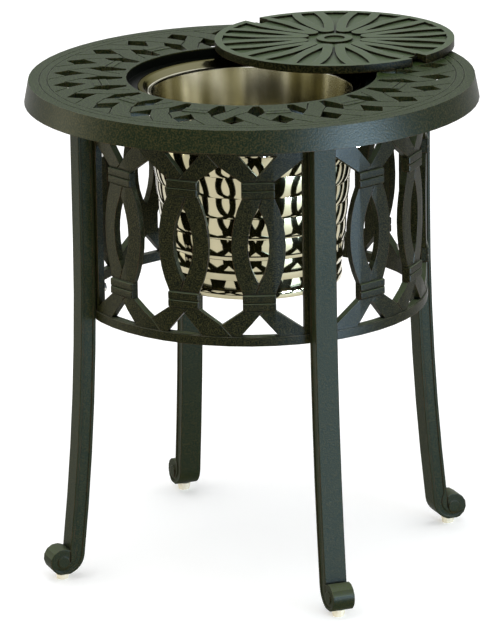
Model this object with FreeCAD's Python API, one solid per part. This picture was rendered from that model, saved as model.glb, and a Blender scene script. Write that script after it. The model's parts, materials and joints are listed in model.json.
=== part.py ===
import FreeCAD, Part
import math
import os
from FreeCAD import Vector

# Round cast-aluminium ice bucket coffee table, in millimetres.
# +Z is up and the origin is on the floor at the table's axis.
# Angles are measured from -Y, where the front leg stands, towards +X.

# Driving dimensions
TABLE_HEIGHT = 616.0
TABLE_DIAMETER = 558.8
WELL_DIAMETER = 307.8
LEG_RADIUS = 232.5          # outer face of a leg at the apron
LEG_COUNT = 4

# Table top: a flat border with a flared skirt, a woven lattice and a ring round the well
TOP_SIDES = 72
RIM_RADIUS = 274.0
SKIRT_RADIUS = TABLE_DIAMETER / 2
SKIRT_BOTTOM = TABLE_HEIGHT - 27.5
SKIRT_WALL = 5.5
PLATE = 7.0
COLLAR_RISE = 0.7           # how far the lattice collars stand above the straps

# Lattice: straps lean both ways and cross on two circles, with a window between crossings
CROSS_COUNT = 24
CROSS_OUT = 229.0
CROSS_IN = 187.0
LATTICE_TURN = 2.7
STRAP_HALF_ANGLE = 3.8
WINDOW_SIDE = 3.7           # half-angle of a window at its widest
OUTER_WINDOW = (204.0, 228.5, 245.5)
INNER_WINDOW = (209.0, 187.0, 158.5)
INNER_WINDOW_END = 1.4      # half-angle of an inner window at the ring
CREASE_WIDTH = 2.2
CREASE_DEPTH = 1.6
CREASE_OVER = 1.2           # how far a crease runs on into the windows at its ends

# Well: a wall and a ledge for the bucket's flange, which the lid lies on
WELL_RADIUS = WELL_DIAMETER / 2
LEDGE = TABLE_HEIGHT - 12.0
LEDGE_RADIUS = 134.0
LEDGE_PLATE = 4.0
WELL_WALL = 4.5

# Apron: four panels of three ovals between the legs
APRON_RADIUS = 214.0
APRON_DEPTH = 9.0
APRON_BOTTOM = 333.5
APRON_MIDDLE = 457.0
APRON_TOP = 2 * APRON_MIDDLE - APRON_BOTTOM
RAIL_HEIGHT = 11.2
RAIL_PROUD = 1.4
UNIT_PITCH = 25.0
UNIT_COUNT = 3
LENS_HEIGHT = 95.0
LENS_WIDTH = 25.7
OVAL_WIDTH = 65.3
COLLAR_WIDTH = 38.6
COLLAR_HEIGHT = 20.0
COLLAR_CENTRE = 69.5        # from the middle height of the apron
COLLAR_PROUD = 1.6
COLLAR_GROOVE = 1.6
GAP_TIP = 98.4              # from the middle height to the tip of a gap between units
TRIANGLE_TIP = 85.0
TRIANGLE_BASE = 111.5
TRIANGLE_HALF = 23.0
PANEL_FLATS = 12
STILE_ANGLE = 5.5
STILE_GAP = 0.3
LUG_RADIUS = 197.0
LUG_ANGLE = 27.5            # from the middle of a panel
LUG_SIZE = 16.0
BOSS_RADIUS = 7.0

# Legs: a bar that flares outwards and ends in a scroll
LEG_WIDTH = 28.0
LEG_DEPTH = 19.0
LEG_TOP = TABLE_HEIGHT - PLATE
FLARE_START = 425.0
FLARE_RADIUS = 3285.0
HEEL_RADIUS = 27.0
HEEL_HEIGHT = 35.0
SCROLL_RADIUS = 16.8
SCROLL_TURN = -86.0         # where the heel's arc hands over to the scroll's
EYE_RADIUS = 7.8
EYE_PROUD = 1.2
EYE_SIDES = 12
COIL = ((123, 16.6), (150, 11.0), (190, 9.2))
BEAD = 3.6
PANEL_DEPTH = 0.9           # how far the flat of a leg's side lies below its beads
COIL_WIDTH = 1.5

# Glides
GLIDE_RADIUS = 9.0
GLIDE_FOOT_RADIUS = 7.0
GLIDE_HEIGHT = 9.0
GLIDE_CENTRE = 262.0
GLIDE_SIDES = 12
STEM_RADIUS = 4.0
STEM_HEIGHT = 10.0

# Fasteners
BOLT_RADIUS = 3.0
THREAD_FIT = 0.02
CLEARANCE = 0.5
HEAD_ACROSS = 10.0
HEAD_HEIGHT = 4.0
WASHER_RADIUS = 6.5
WASHER_THICKNESS = 1.4
TOP_BOLT_LENGTH = 26.0
LEG_BOLT_LENGTH = 21.0
LEG_BOLT_HEIGHTS = (372.0, 542.0)
LEG_BOLT_OFFSET = 8.5
LEG_BOLT_SEAT = 203.5
LEG_BOLT_LAND = 15.0

# Bucket: a steel liner with a flange, inside a ribbed shell
BUCKET_SIDES = 40
STEEL = 1.0
FLANGE_RADIUS = 140.0
CONE_TOP_RADIUS = 133.4
CONE_LOW_RADIUS = 127.6
CONE_DROP = 8.0
LINER_TOP_RADIUS = 124.5
LINER_BOTTOM = 370.0
SHELL_TOP_RADIUS = 130.9
TAPER = 0.095
RIB_PITCH = 26.5
RIB_COUNT = 8
RIB_DEPTH = 1.0
BASE_BOTTOM = 360.0         # outside of the bucket's floor
BASE_RADIUS = 109.6

# Lid: a cast disc with a sunburst of hairpin loops and two finger notches
LID_SIDES = 60
LID_RADIUS = 150.6
LID_THICKNESS = 10.0
LID_RELIEF = 3.0
LID_PLATE = 4.0
LID_RIM = 9.0
LID_WALL = 6.0
HUB_RADIUS = 22.7
HUB_HOLE = 13.3
HUB_SIDES = 16
LOOP_COUNT = 12
LOOP_INNER = 34.0
LOOP_SHOULDER = 44.0
SLOT_INNER = 57.0
SLOT_SHOULDER = 72.0
SLOT_HALF_ANGLE = 3.4
LOOP_HALF_ANGLE = 13.5
NOTCH_WIDTH = 24.0
NOTCH_DEPTH = 17.5
LID_PLACE = (151.4, 98.2)
LID_TURN = 21.5


def at(radius, angle, z=0.0):
    """A point at a radius and an angle from -Y towards +X."""
    turn = math.radians(angle)
    return Vector(radius * math.sin(turn), -radius * math.cos(turn), z)


def turned(shape, angle):
    """A copy of a shape made on -Y, turned towards +X by an angle."""
    copy = shape.copy()
    copy.rotate(Vector(0, 0, 0), Vector(0, 0, 1), angle)
    return copy


def line(start, end):
    return Part.LineSegment(start, end).toShape()


def arc(start, through, end, cuts=8):
    """An arc through three points, in short straight cuts."""
    curve = Part.Arc(start, through, end).toShape()
    return Part.makePolygon(curve.discretize(cuts + 1))


def prism(edges, height):
    """A solid standing up from a closed flat outline."""
    return flat_face(edges).extrude(Vector(0, 0, height))


def polygon(points):
    return [line(points[i], points[(i + 1) % len(points)]) for i in range(len(points))]


def bar_of_sides(sides, radius, height):
    """An upright prism with this many sides, which starts on the origin."""
    step = 2 * math.pi / sides
    corners = [Vector(radius * math.cos(step * i), radius * math.sin(step * i), 0) for i in range(sides)]
    return flat_face(polygon(corners)).extrude(Vector(0, 0, height))


def spun(points, sides):
    """A closed outline of (radius, height) points carried round the axis in flat facets."""
    step = 360.0 / sides
    faces = []
    for (r0, z0), (r1, z1) in zip(points, points[1:] + points[:1]):
        if z0 == z1:
            faces += ring_plane(r0, r1, z0, sides)
        elif r0 or r1:
            corners = [at(r0, 0, z0), at(r0, step, z0), at(r1, step, z1), at(r1, 0, z1)]
            side = flat_face(polygon(corners))
            faces += [turned(side, step * i) for i in range(sides)]
    shell = Part.makeShell(faces)
    shell.sewShape()
    return Part.makeSolid(shell)


def ring_plane(inner, outer, z, sides):
    """The flat ring between two regular polygons, or a whole polygon where one is a point."""
    inner, outer = sorted((inner, outer))
    if outer == 0:
        return []
    face = flat_face(polygon([at(outer, 360.0 * i / sides, z) for i in range(sides)]))
    if inner == 0:
        return [face]
    hole = flat_face(polygon([at(inner, 360.0 * i / sides, z) for i in range(sides)]))
    return face.cut(hole).Faces


def moved(shape, place):
    shape.translate(place)
    return shape


def flat_face(outline):
    """The face inside a closed outline of lines and arcs."""
    edges = [edge for piece in outline for edge in piece.Edges]
    return Part.Face(Part.Wire(Part.__sortEdges__(edges)))


def write(name, shape):
    solids = shape.Solids
    result = solids[0] if len(solids) == 1 else Part.makeCompound(solids)
    if not result.isValid():
        print("not valid:", name)
    result.exportStep("parts/" + name + ".step")
    print(name, len(solids), "solid(s)", round(result.Volume / 1000, 1), "cm3")


# Table top

def top_section():
    """Half of the top's cross-section: ledge, well wall, plate and flared skirt."""
    top = TABLE_HEIGHT
    below = LEDGE - LEDGE_PLATE
    return [
        (LEDGE_RADIUS, below),
        (LEDGE_RADIUS, LEDGE),
        (WELL_RADIUS, LEDGE),
        (WELL_RADIUS, top),
        (RIM_RADIUS, top),
        (SKIRT_RADIUS, SKIRT_BOTTOM),
        (SKIRT_RADIUS - SKIRT_WALL, SKIRT_BOTTOM),
        (RIM_RADIUS - SKIRT_WALL, top - PLATE),
        (WELL_RADIUS + WELL_WALL, top - PLATE),
        (WELL_RADIUS + WELL_WALL, below),
    ]


def outer_window():
    """The kite between four straps, on -Y, with its tips eased."""
    near, wide, far = OUTER_WINDOW
    z = TABLE_HEIGHT - PLATE - 1.0
    points = [at(near, 0, z), at(wide, WINDOW_SIDE, z), at(far, 0, z), at(wide, -WINDOW_SIDE, z)]
    return flat_face(polygon(points)).extrude(Vector(0, 0, PLATE + 2.0))


def inner_window():
    """The window between two straps and the well's ring, on -Y."""
    far, wide, near = INNER_WINDOW
    z = TABLE_HEIGHT - PLATE - 1.0
    end = INNER_WINDOW_END
    points = [at(far, 0, z), at(wide, WINDOW_SIDE, z), at(near, end, z)]
    points += [at(near, -end, z), at(wide, -WINDOW_SIDE, z)]
    return flat_face(polygon(points)).extrude(Vector(0, 0, PLATE + 2.0))


def lattice_windows():
    pitch = 360.0 / CROSS_COUNT
    outer, inner = outer_window(), inner_window()
    cuts = [turned(outer, i * pitch + LATTICE_TURN) for i in range(CROSS_COUNT)]
    return cuts + [turned(inner, (i + 0.5) * pitch + LATTICE_TURN) for i in range(CROSS_COUNT)]


def vee(length, width, depth):
    """A V-shaped cutter along +X whose flat side is up, with its point below the origin."""
    rise = 2.0
    spread = width / 2 * (1 + rise / depth)
    points = [Vector(-CREASE_OVER, -spread, rise), Vector(-CREASE_OVER, spread, rise), Vector(-CREASE_OVER, 0, -depth)]
    return flat_face(polygon(points)).extrude(Vector(length + 2 * CREASE_OVER, 0, 0))


def crease(start, end):
    """A narrow cut along a line on the top face, where one strap dips under another."""
    along = end - start
    cutter = vee(along.Length, CREASE_WIDTH, CREASE_DEPTH)
    cutter.rotate(Vector(0, 0, 0), Vector(0, 0, 1), math.degrees(math.atan2(along.y, along.x)))
    return moved(cutter, start + Vector(0, 0, TABLE_HEIGHT))


def crossing_creases(radius, low, high, lean):
    """The two creases beside the strap that passes over at a crossing on -Y."""
    side = STRAP_HALF_ANGLE
    first = crease(at(radius, -lean * side), at(high, 0))
    second = crease(at(radius, lean * side), at(low, 0))
    return [first, second]


def lattice_creases():
    pitch = 360.0 / CROSS_COUNT
    outer = crossing_creases(CROSS_OUT, INNER_WINDOW[0], CROSS_OUT + 19.0, 1)
    inner = crossing_creases(CROSS_IN, 163.0, OUTER_WINDOW[0], -1)
    cuts = []
    for i in range(CROSS_COUNT):
        cuts += [turned(cut, (i + 0.5) * pitch + LATTICE_TURN) for cut in outer]
        if i % 2 == 0:
            cuts += [turned(cut, i * pitch + LATTICE_TURN) for cut in inner]
        else:
            cuts += [turned(cut, i * pitch + LATTICE_TURN) for cut in collar_grooves()]
    return cuts


def collar_grooves():
    """The groove that divides a lattice collar on -Y into two ridges."""
    cut = crease(Vector(-15.0, -CROSS_IN, 0), Vector(15.0, -CROSS_IN, 0))
    return [moved(cut, Vector(0, 0, COLLAR_RISE))]


def collar_pads():
    """The plates over every second inner crossing, a little wider than the straps."""
    pads = []
    pad = Part.makeBox(31.0, 18.0, PLATE + COLLAR_RISE)
    pad.translate(Vector(-15.5, -CROSS_IN - 9.0, TABLE_HEIGHT - PLATE))
    for i in range(1, CROSS_COUNT, 2):
        pads.append(turned(pad, i * 360.0 / CROSS_COUNT + LATTICE_TURN))
    return pads


def lug_angles():
    """Where the top is bolted down: two places on each apron panel."""
    quarter = 360.0 / LEG_COUNT
    return [quarter * (i + 0.5) + side * LUG_ANGLE for i in range(LEG_COUNT) for side in (-1, 1)]


def bosses():
    """Posts under the top that stand on the apron's lugs."""
    height = TABLE_HEIGHT - PLATE + 1.0 - APRON_TOP
    return [moved(bar_of_sides(6, BOSS_RADIUS, height), at(LUG_RADIUS, angle, APRON_TOP))
            for angle in lug_angles()]


def table_top():
    cast = spun(top_section(), TOP_SIDES).cut(Part.makeCompound(lattice_windows()))
    cast = cast.fuse(collar_pads() + bosses())
    depth = TOP_BOLT_LENGTH - RAIL_HEIGHT + 1.0
    hole = bar_of_sides(6, BOLT_RADIUS + THREAD_FIT, depth)
    holes = [moved(hole.copy(), at(LUG_RADIUS, angle, APRON_TOP)) for angle in lug_angles()]
    return cast.cut(Part.makeCompound(lattice_creases() + holes)).removeSplitter()


# Apron

def flat_outline(edges, angle, depth=40.0):
    """A radial cutter: the outline is drawn on a plane facing outwards on -Y."""
    face = flat_face(edges)
    face.translate(Vector(0, -APRON_RADIUS - depth / 2, APRON_MIDDLE))
    return turned(face.extrude(Vector(0, depth, 0)), angle)


def panel_point(x, z):
    return Vector(x, 0, z)


def lens(angle):
    """The pointed eye in the middle of an oval."""
    low = panel_point(0, -LENS_HEIGHT / 2)
    high = panel_point(0, LENS_HEIGHT / 2)
    left = arc(low, panel_point(-LENS_WIDTH / 2, 0), high)
    right = arc(low, panel_point(LENS_WIDTH / 2, 0), high)
    return flat_outline([left, right], angle)


def triangle(angle, side):
    """The opening between the crossing straps and the rail, below or above a collar."""
    corners = [
        panel_point(0, side * TRIANGLE_TIP),
        panel_point(-TRIANGLE_HALF, side * TRIANGLE_BASE),
        panel_point(TRIANGLE_HALF, side * TRIANGLE_BASE),
    ]
    edges = [line(corners[i], corners[(i + 1) % 3]) for i in range(3)]
    return flat_outline(edges, angle)


def unit_side(x, side):
    """The outer edge of one oval unit, from collar to collar, as seen from a gap."""
    neck = COLLAR_CENTRE - COLLAR_HEIGHT / 2
    foot = COLLAR_CENTRE + COLLAR_HEIGHT / 2
    collar = x - side * COLLAR_WIDTH / 2
    bulge = x - side * OVAL_WIDTH / 2
    edges = [arc(panel_point(collar, -neck), panel_point(bulge, 0), panel_point(collar, neck))]
    for way in (-1, 1):
        edges.append(line(panel_point(collar, way * neck), panel_point(collar, way * foot)))
    return edges, panel_point(collar, -foot), panel_point(collar, foot)


def gap_between_units(angle):
    """The tall opening between two ovals."""
    reach = APRON_RADIUS * math.sin(math.radians(UNIT_PITCH / 2))
    left, left_low, left_high = unit_side(-reach, -1)
    right, right_low, right_high = unit_side(reach, 1)
    low, high = panel_point(0, -GAP_TIP), panel_point(0, GAP_TIP)
    edges = left + right
    edges += [line(left_low, low), line(low, right_low), line(left_high, high), line(high, right_high)]
    return flat_outline(edges, angle)


def gap_at_stile(angle, side):
    """The opening between the last oval of a panel and the upright beside the leg."""
    half = 180.0 / LEG_COUNT
    span = half - STILE_ANGLE - UNIT_PITCH
    reach = APRON_RADIUS * math.sin(math.radians(span / 2))
    edges, low, high = unit_side(-side * reach, -side)
    stile = side * reach
    drop = GAP_TIP + 6.5
    corner_low, corner_high = panel_point(stile, -drop), panel_point(stile, drop)
    edges += [line(low, corner_low), line(corner_low, corner_high), line(corner_high, high)]
    return flat_outline(edges, angle + side * (UNIT_PITCH + span / 2))


def sector(inner, outer, bottom, height, half):
    """A curved bar centred on -Y, in narrow flats."""
    angles = [half * (2 * i / PANEL_FLATS - 1) for i in range(PANEL_FLATS + 1)]
    corners = [at(outer, angle, bottom) for angle in angles]
    corners += [at(inner, angle, bottom) for angle in reversed(angles)]
    return prism(polygon(corners), height)


def apron_collar(angle, way):
    """The binding round the straps, above or below the lens."""
    plate = Part.makeBox(COLLAR_WIDTH + 1.2, APRON_DEPTH, COLLAR_HEIGHT - 2 * COLLAR_GROOVE)
    plate.translate(Vector(-COLLAR_WIDTH / 2 - 0.6, 0, -COLLAR_HEIGHT / 2 + COLLAR_GROOVE))
    plate.translate(Vector(0, -APRON_RADIUS - COLLAR_PROUD + 0.5, APRON_MIDDLE + way * COLLAR_CENTRE))
    return turned(plate, angle)


def panel_cuts(units):
    cuts = [gap_at_stile(0.0, -1), gap_at_stile(0.0, 1)]
    for angle in units:
        cuts += [lens(angle), triangle(angle, -1), triangle(angle, 1)]
    for left, right in zip(units, units[1:]):
        cuts.append(gap_between_units((left + right) / 2))
    return cuts


def lug(angle):
    """A lug inside the top rail, for the bolt that holds the top down."""
    inner = APRON_RADIUS - APRON_DEPTH
    depth = inner - LUG_RADIUS + LUG_SIZE / 2
    block = Part.makeBox(LUG_SIZE, depth + 3.0, RAIL_HEIGHT)
    block.translate(Vector(-LUG_SIZE / 2, -inner - 3.0, APRON_TOP - RAIL_HEIGHT))
    return turned(block, angle)


def lug_hole(angle):
    hole = bar_of_sides(6, BOLT_RADIUS + CLEARANCE, 30.0)
    return moved(hole, at(LUG_RADIUS, angle, APRON_TOP - 20.0))


def apron_panel(middle):
    """One panel: two rails, two uprights and three interlaced ovals."""
    half = 180.0 / LEG_COUNT - math.degrees(STILE_GAP / APRON_RADIUS)
    inner = APRON_RADIUS - APRON_DEPTH
    units = [UNIT_PITCH * (i - (UNIT_COUNT - 1) / 2) for i in range(UNIT_COUNT)]
    body = sector(inner, APRON_RADIUS, APRON_BOTTOM, APRON_TOP - APRON_BOTTOM, half)
    body = body.cut(Part.makeCompound(panel_cuts(units)))
    extra = []
    extra.append(sector(APRON_RADIUS - 1.0, APRON_RADIUS + RAIL_PROUD, APRON_BOTTOM, RAIL_HEIGHT, half))
    for angle in units:
        extra += [apron_collar(angle, -1), apron_collar(angle, 1)]
    for side in (-1, 1):
        extra += [lug(side * LUG_ANGLE), leg_bolt_land(side)]
    body = body.fuse(extra)
    cuts = []
    for side in (-1, 1):
        cuts += [lug_hole(side * LUG_ANGLE), leg_seat(side * 180.0 / LEG_COUNT)]
        cuts += leg_bolt_holes(side * 180.0 / LEG_COUNT, CLEARANCE)
    return turned(body.cut(Part.makeCompound(cuts)).removeSplitter(), middle)


def leg_seat(angle):
    """The flat that a leg's inner face bears on."""
    face = LEG_RADIUS - LEG_DEPTH
    seat = Part.makeBox(LEG_WIDTH, 30.0, 400.0)
    seat.translate(Vector(-LEG_WIDTH / 2, -face - 30.0, 300.0))
    return turned(seat, angle)


def leg_bolt_land(side):
    """A flat land for the bolt heads, down the inside of the upright at one end of a panel."""
    low, high = LEG_BOLT_HEIGHTS
    land = Part.makeBox(LEG_BOLT_LAND, APRON_RADIUS - 3.0 - LEG_BOLT_SEAT, high - low + LEG_BOLT_LAND)
    left = -side * LEG_BOLT_OFFSET - LEG_BOLT_LAND / 2
    land.translate(Vector(left, -APRON_RADIUS + 3.0, low - LEG_BOLT_LAND / 2))
    return turned(land, side * 180.0 / LEG_COUNT)


def leg_bolt_places():
    """(offset across the leg, height) of the bolts behind one leg."""
    return [(side * LEG_BOLT_OFFSET, z) for side in (-1, 1) for z in LEG_BOLT_HEIGHTS]


def leg_bolt_holes(angle, fit):
    holes = []
    for offset, z in leg_bolt_places():
        hole = bar_of_sides(6, BOLT_RADIUS + fit, 40.0)
        hole.rotate(Vector(0, 0, 0), Vector(1, 0, 0), -90)
        hole.translate(Vector(offset, -LEG_BOLT_SEAT - LEG_BOLT_LENGTH, z))
        holes.append(turned(hole, angle))
    return holes


# Legs, drawn in the X-Z plane with the outside towards +X, then turned onto -Y

FLARE_CENTRE = (LEG_RADIUS + FLARE_RADIUS, FLARE_START)


def about(centre, radius, angle):
    """A point on a circle in the X-Z plane."""
    turn = math.radians(angle)
    return Vector(centre[0] + radius * math.cos(turn), 0, centre[1] + radius * math.sin(turn))


def arc_about(centre, radius, start, end, cuts=8):
    middle = about(centre, radius, (start + end) / 2)
    return arc(about(centre, radius, start), middle, about(centre, radius, end), cuts)


def heel():
    """The heel circle's centre, tangent to the leg's inner face, and the angle where it starts."""
    reach = FLARE_RADIUS + LEG_DEPTH - HEEL_RADIUS
    turn = math.asin((FLARE_START - HEEL_HEIGHT) / reach)
    centre = (FLARE_CENTRE[0] - reach * math.cos(turn), HEEL_HEIGHT)
    return centre, 180.0 + math.degrees(turn)


def scroll():
    """The scroll circle's centre, tangent to the heel circle."""
    centre, start = heel()
    middle = about(centre, HEEL_RADIUS - SCROLL_RADIUS, SCROLL_TURN)
    return (middle.x, middle.z)


def notch_angle(radius):
    """Where a circle round the scroll meets the leg's outer face, as an angle round the scroll."""
    centre = scroll()
    angle = 90.0
    while (about(centre, radius, angle) - Vector(FLARE_CENTRE[0], 0, FLARE_CENTRE[1])).Length < FLARE_RADIUS:
        angle += 0.05
    return angle


def rim(inset, end):
    """The leg's inner edge, heel and scroll, at an inset from the leg's outline."""
    centre, start = heel()
    back = FLARE_RADIUS + LEG_DEPTH - inset
    top = Vector(FLARE_CENTRE[0] - back, 0, LEG_TOP)
    edges = [line(top, Vector(FLARE_CENTRE[0] - back, 0, FLARE_START))]
    edges.append(arc_about(FLARE_CENTRE, back, 180.0, start, 6))
    edges.append(arc_about(centre, HEEL_RADIUS - inset, start, 360.0 + SCROLL_TURN))
    edges.append(arc_about(scroll(), SCROLL_RADIUS - inset, SCROLL_TURN, end))
    return edges, top, about(scroll(), SCROLL_RADIUS - inset, end)


def face_edge(inset, height):
    """The leg's outer face at an inset, down to a height."""
    radius = FLARE_RADIUS + inset
    end = 180.0 + math.degrees(math.asin((FLARE_START - height) / radius))
    top = Vector(FLARE_CENTRE[0] - radius, 0, LEG_TOP)
    edges = [line(top, Vector(FLARE_CENTRE[0] - radius, 0, FLARE_START))]
    edges.append(arc_about(FLARE_CENTRE, radius, 180.0, end, 6))
    return edges, top, about(FLARE_CENTRE, radius, end)


def leg_outline():
    """The side view of a leg: inner face, heel, scroll, notch and outer face."""
    inner, inner_top, notch = rim(0.0, notch_angle(SCROLL_RADIUS))
    turn = math.degrees(math.asin((FLARE_START - notch.z) / FLARE_RADIUS))
    top = Vector(LEG_RADIUS, 0, LEG_TOP)
    corner = Vector(LEG_RADIUS, 0, FLARE_START)
    flare = arc(corner, about(FLARE_CENTRE, FLARE_RADIUS, 180.0 + turn / 2), notch, 6)
    return inner + [line(inner_top, top), line(top, corner), flare]


def side_flat():
    """The flat between the beads, which thins to a point round the underside of the scroll."""
    outer, outer_top, outer_end = face_edge(BEAD, 44.0)
    inner, inner_top, inner_end = rim(BEAD, -30.0)
    middle = about(scroll(), SCROLL_RADIUS - BEAD - 2.2, 215.0)
    coil = arc(outer_end, middle, inner_end)
    return flat_face(outer + inner + [line(outer_top, inner_top), coil])


def coil_crease():
    """The crease that winds in from the notch to the eye."""
    outside = [about(scroll(), radius, angle) for angle, radius in COIL]
    inside = [about(scroll(), radius - COIL_WIDTH, angle) for angle, radius in COIL]
    edges = [arc(*outside, 4), arc(*inside, 4), line(outside[0], inside[0]), line(outside[2], inside[2])]
    return flat_face(edges)


def leg_side_cuts():
    """The sunk flats and coil creases of both sides of a leg."""
    cuts = []
    for face in (side_flat(), coil_crease()):
        for y in (-LEG_WIDTH / 2 - 1.0, LEG_WIDTH / 2 - PANEL_DEPTH):
            copy = face.copy()
            copy.translate(Vector(0, y, 0))
            cuts.append(copy.extrude(Vector(0, PANEL_DEPTH + 1.0, 0)))
    return cuts


def leg():
    face = flat_face(leg_outline())
    face.translate(Vector(0, -LEG_WIDTH / 2, 0))
    body = face.extrude(Vector(0, LEG_WIDTH, 0)).cut(Part.makeCompound(leg_side_cuts()))
    cx, cz = scroll()
    length = LEG_WIDTH + 2 * EYE_PROUD
    eye = bar_of_sides(EYE_SIDES, EYE_RADIUS, length)
    eye.rotate(Vector(0, 0, 0), Vector(1, 0, 0), -90)
    body = body.fuse(moved(eye, Vector(cx, -length / 2, cz)))
    body.rotate(Vector(0, 0, 0), Vector(0, 0, 1), -90)
    stem = moved(bar_of_sides(6, STEM_RADIUS + THREAD_FIT, STEM_HEIGHT + 1.0), at(GLIDE_CENTRE, 0.0, GLIDE_HEIGHT))
    seat = Part.makeBox(LEG_WIDTH + 2.0, GLIDE_RADIUS * 4, GLIDE_HEIGHT)
    seat.translate(Vector(-LEG_WIDTH / 2 - 1.0, -GLIDE_CENTRE - GLIDE_RADIUS * 2, 0))
    cuts = leg_bolt_holes(0.0, THREAD_FIT) + [stem, seat]
    return body.cut(Part.makeCompound(cuts)).removeSplitter()


def glide(angle):
    """A plastic glide: a tapered foot with a stem pressed up into the leg."""
    body = spun([(0, 0), (GLIDE_FOOT_RADIUS, 0), (GLIDE_RADIUS, GLIDE_HEIGHT), (0, GLIDE_HEIGHT)], GLIDE_SIDES)
    stem = moved(bar_of_sides(6, STEM_RADIUS, STEM_HEIGHT), Vector(0, 0, GLIDE_HEIGHT))
    return turned(moved(body.fuse(stem).removeSplitter(), at(GLIDE_CENTRE, 0.0)), angle)


# Fasteners

def bolt(length):
    """A bolt pointing up, with the underside of its head at the origin."""
    head = moved(bar_of_sides(6, HEAD_ACROSS / math.sqrt(3), HEAD_HEIGHT), Vector(0, 0, -HEAD_HEIGHT))
    return head.fuse(bar_of_sides(6, BOLT_RADIUS, length)).removeSplitter()


def washer():
    """A washer that hangs below the origin, where it meets the piece it clamps."""
    ring = bar_of_sides(8, WASHER_RADIUS, WASHER_THICKNESS)
    ring = ring.cut(bar_of_sides(6, BOLT_RADIUS + CLEARANCE, WASHER_THICKNESS))
    return moved(ring, Vector(0, 0, -WASHER_THICKNESS))


def seated_bolt(length):
    """A bolt whose head bears on a washer at the origin."""
    piece = bolt(length)
    piece.translate(Vector(0, 0, -WASHER_THICKNESS))
    return piece


def on_lugs(piece):
    """Copies of a fastener under the apron's lugs."""
    solids = []
    for angle in lug_angles():
        copy = piece.copy()
        copy.translate(at(LUG_RADIUS, angle, APRON_TOP - RAIL_HEIGHT))
        solids.append(copy)
    return Part.makeCompound(solids)


def behind_legs(piece):
    """Copies of a fastener at every bolt behind the legs, pointing outwards."""
    solids = []
    for i in range(LEG_COUNT):
        for offset, z in leg_bolt_places():
            copy = piece.copy()
            copy.rotate(Vector(0, 0, 0), Vector(1, 0, 0), 90)
            copy.translate(Vector(offset, -LEG_BOLT_SEAT, z))
            solids.append(turned(copy, i * 360.0 / LEG_COUNT))
    return Part.makeCompound(solids)


# Bucket

def liner_radius(z):
    return LINER_TOP_RADIUS - TAPER * (LEDGE - 12.0 - z)


def bucket_liner():
    """The inner wall and its flange: a flat edge, a cone, a step and a tapered wall."""
    low = LEDGE - CONE_DROP
    wall = liner_radius(low)
    foot = liner_radius(LINER_BOTTOM)
    outline = [
        (FLANGE_RADIUS, LEDGE + STEEL),
        (CONE_TOP_RADIUS, LEDGE + STEEL),
        (CONE_LOW_RADIUS, low + STEEL),
        (wall, low + STEEL),
        (foot, LINER_BOTTOM + 7.0),
        (foot - 6.0, LINER_BOTTOM + STEEL),
        (0.0, LINER_BOTTOM + STEEL),
        (0.0, LINER_BOTTOM),
        (foot + STEEL, LINER_BOTTOM),
        (wall + STEEL, low),
        (CONE_LOW_RADIUS, low),
        (CONE_TOP_RADIUS, LEDGE),
        (FLANGE_RADIUS, LEDGE),
    ]
    return spun(outline, BUCKET_SIDES)


def shell_radius(z):
    return SHELL_TOP_RADIUS - TAPER * (LEDGE - CONE_DROP - z)


def bucket_shell():
    """The outer wall: bands that swell between grooves, and a smooth foot."""
    top = LEDGE - CONE_DROP
    outline = [(shell_radius(top), top)]
    for i in range(RIB_COUNT):
        z = top - RIB_PITCH * (i + 1)
        outline.append((shell_radius(z + RIB_PITCH / 2), z + RIB_PITCH / 2))
        outline.append((shell_radius(z) - RIB_DEPTH, z))
    wall = STEEL + RIB_DEPTH
    outline += [
        (BASE_RADIUS, LINER_BOTTOM),
        (BASE_RADIUS - wall, LINER_BOTTOM),
        (shell_radius(top) - wall, top),
    ]
    return spun(outline, BUCKET_SIDES)


def bucket_base():
    """The outer floor, which the liner and the shell stand on."""
    return spun([
        (0.0, BASE_BOTTOM),
        (BASE_RADIUS - 2.0, BASE_BOTTOM),
        (BASE_RADIUS, BASE_BOTTOM + 2.4),
        (BASE_RADIUS, LINER_BOTTOM),
        (0.0, LINER_BOTTOM),
    ], BUCKET_SIDES)


# Lid

def lid_disc():
    """The lid's plate, its raised rim and the wall that hangs below the rim."""
    top = LID_THICKNESS
    floor = top - LID_RELIEF
    under = floor - LID_PLATE
    outline = [
        (0.0, under),
        (0.0, floor),
        (LID_RADIUS - LID_RIM, floor),
        (LID_RADIUS - LID_RIM, top),
        (LID_RADIUS, top),
        (LID_RADIUS, 0.0),
        (LID_RADIUS - LID_WALL, 0.0),
        (LID_RADIUS - LID_WALL, under),
    ]
    return spun(outline, LID_SIDES)


def loop_bars():
    """One hairpin of the sunburst on -Y: two bars joined by a rounded end at the hub."""
    half = LOOP_HALF_ANGLE
    outer = LID_RADIUS - LID_RIM + 0.2
    z = LID_THICKNESS - LID_RELIEF - 0.5
    height = LID_RELIEF + 0.5
    edges = [
        line(at(LOOP_SHOULDER, -half, z), at(outer, -half, z)),
        line(at(LOOP_SHOULDER, half, z), at(outer, half, z)),
        arc(at(outer, -half, z), at(outer, 0, z), at(outer, half, z)),
        arc(at(LOOP_SHOULDER, -half, z), at(LOOP_INNER, 0, z), at(LOOP_SHOULDER, half, z)),
    ]
    half = SLOT_HALF_ANGLE
    z += 0.5
    corners = [at(SLOT_INNER, 0, z), at(SLOT_SHOULDER, half, z), at(outer + 1.0, half, z)]
    corners += [at(outer + 1.0, -half, z), at(SLOT_SHOULDER, -half, z)]
    return prism(edges, height).cut(flat_face(polygon(corners)).extrude(Vector(0, 0, height)))


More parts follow.
